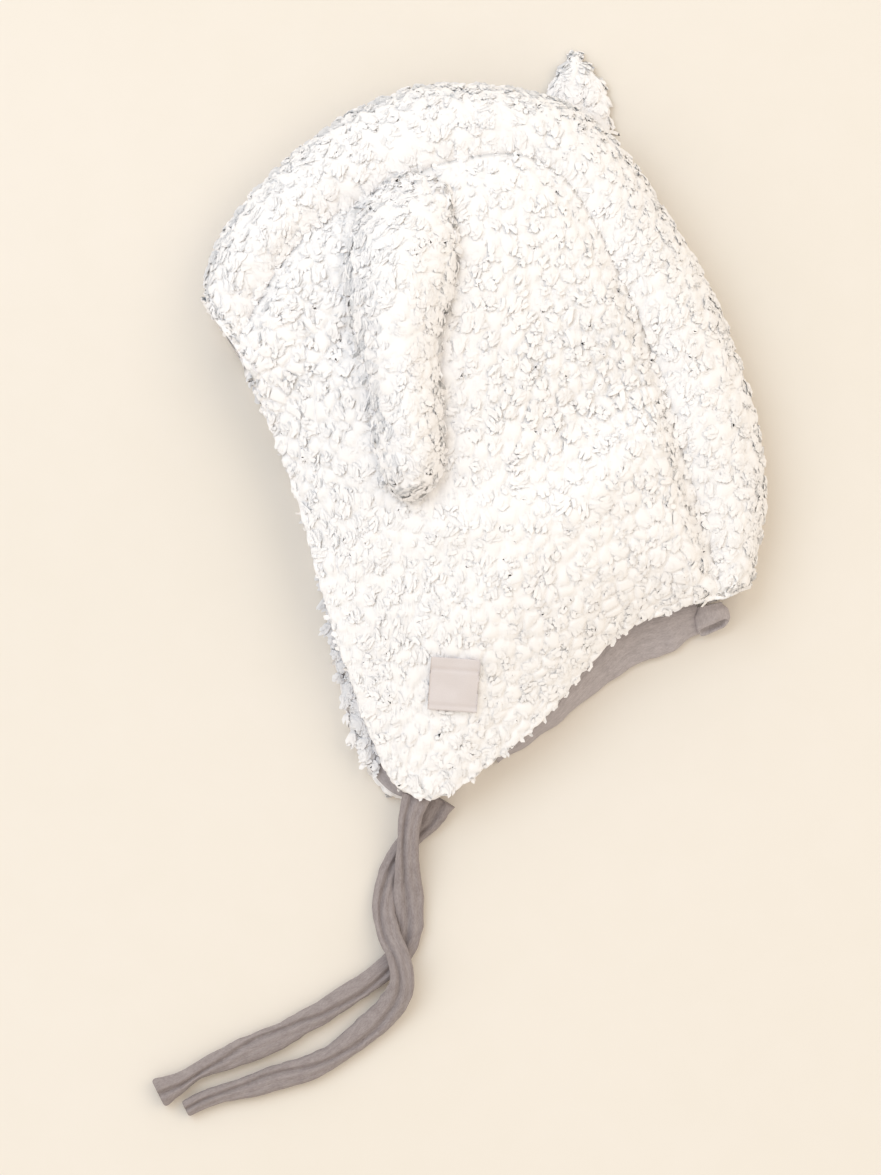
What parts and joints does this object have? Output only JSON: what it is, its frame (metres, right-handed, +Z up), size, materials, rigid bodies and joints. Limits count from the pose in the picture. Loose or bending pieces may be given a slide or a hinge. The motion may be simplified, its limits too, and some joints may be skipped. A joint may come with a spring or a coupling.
{
  "type": "baby hat with ears",
  "caption": "Soft baby hat of white teddy fleece with long floppy ears, ear flaps, grey jersey lining and tie cords, lying on its side.",
  "frame": {"origin": "middle of the lying hat's own box at the surface it lies on, without the two ties", "axes": "+X from the forehead to the back of the head, +Y from the flap tip to the crown, +Z up from the surface"},
  "size_m": [0.2308, 0.4038, 0.0663],
  "materials": {
    "teddy_fleece": "curly deep pile, matt, off-white",
    "grey_jersey": "fine knit, warm grey melange",
    "label_cloth": "smooth woven cloth, pale pink, bare"
  },
  "bodies": {
    "root": {"side_panel_near": "teddy_fleece", "centre_gusset": "teddy_fleece", "side_panel_far": "teddy_fleece", "ear_near": "teddy_fleece", "ear_far": "teddy_fleece", "lining": "grey_jersey", "nape_band": "grey_jersey", "nape_roll": "grey_jersey", "label": "label_cloth", "tie_near": "grey_jersey", "tie_far": "grey_jersey"}
  },
  "joints": []
}
